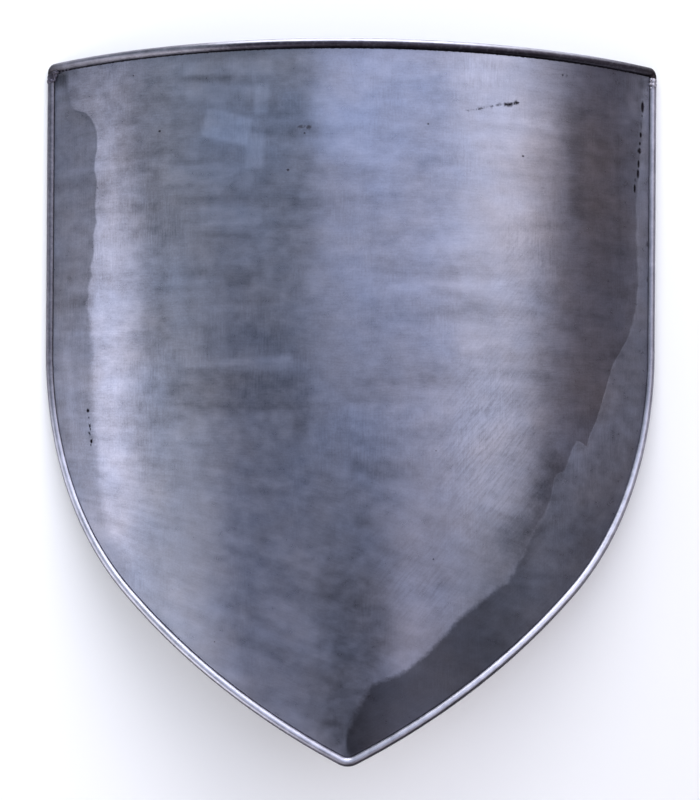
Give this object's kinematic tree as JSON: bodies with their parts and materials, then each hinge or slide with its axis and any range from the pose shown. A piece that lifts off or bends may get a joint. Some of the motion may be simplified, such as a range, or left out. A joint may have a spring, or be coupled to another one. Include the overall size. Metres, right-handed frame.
{
  "type": "heater shield",
  "caption": "Bare steel heater shield, curved from side to side, with round bar along its whole edge and a hollow back.",
  "frame": {"origin": "on the floor, under the middle of the outer box of the shield as it lies on its back edges", "axes": "+X across the shield to the right as its front is seen, +Y to the straight top edge, +Z out of the bulging front"},
  "size_m": [0.559, 0.6165, 0.1016],
  "materials": {
    "brushed_sheet": "bare mild steel, brushed by hand, with a ground strip along the edge",
    "ground_bar": "bare round bar, ground, darker where it was heated at the corners"
  },
  "bodies": {
    "root": {"face_sheet": "brushed_sheet", "top_edge_bar": "ground_bar", "side_edge_bar": "ground_bar"}
  },
  "joints": []
}
